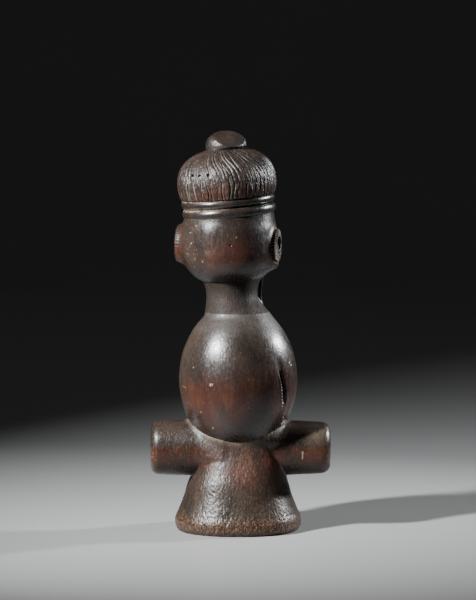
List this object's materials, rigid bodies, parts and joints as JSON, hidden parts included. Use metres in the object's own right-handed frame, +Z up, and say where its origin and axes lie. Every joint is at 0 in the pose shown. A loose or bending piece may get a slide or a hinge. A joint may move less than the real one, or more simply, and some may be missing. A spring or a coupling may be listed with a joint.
{
  "type": "carved fertility doll",
  "caption": "Standing carved wooden doll with a blank round head, banded hair and topknot, egg-shaped belly, level limb stubs and a flared foot.",
  "frame": {"origin": "centre of the foot's flat underside, on the surface that the doll stands on", "axes": "+Z up through the topknot, -Y the way the blank face looks, +X the doll's own left side, along the limb stubs"},
  "size_m": [0.105, 0.0736, 0.23],
  "materials": {
    "dark_wood": "hand-polished near-black patina over red-brown hardwood, satin to glossy",
    "worn_wood": "patinated hardwood worn to red-brown and tan, with small tool marks, satin",
    "headband_wood": "smooth dark polished hardwood",
    "hair_wood": "dark hardwood with tan dust in its cut lines, satin"
  },
  "bodies": {
    "root": {"foot": "worn_wood", "right_stub": "worn_wood", "left_stub": "worn_wood", "belly": "dark_wood", "neck": "dark_wood", "neck_loop": "dark_wood", "head": "dark_wood", "right_ear": "dark_wood", "left_ear": "dark_wood", "lower_headband": "headband_wood", "upper_headband": "headband_wood", "hair": "hair_wood", "topknot": "headband_wood"}
  },
  "joints": []
}
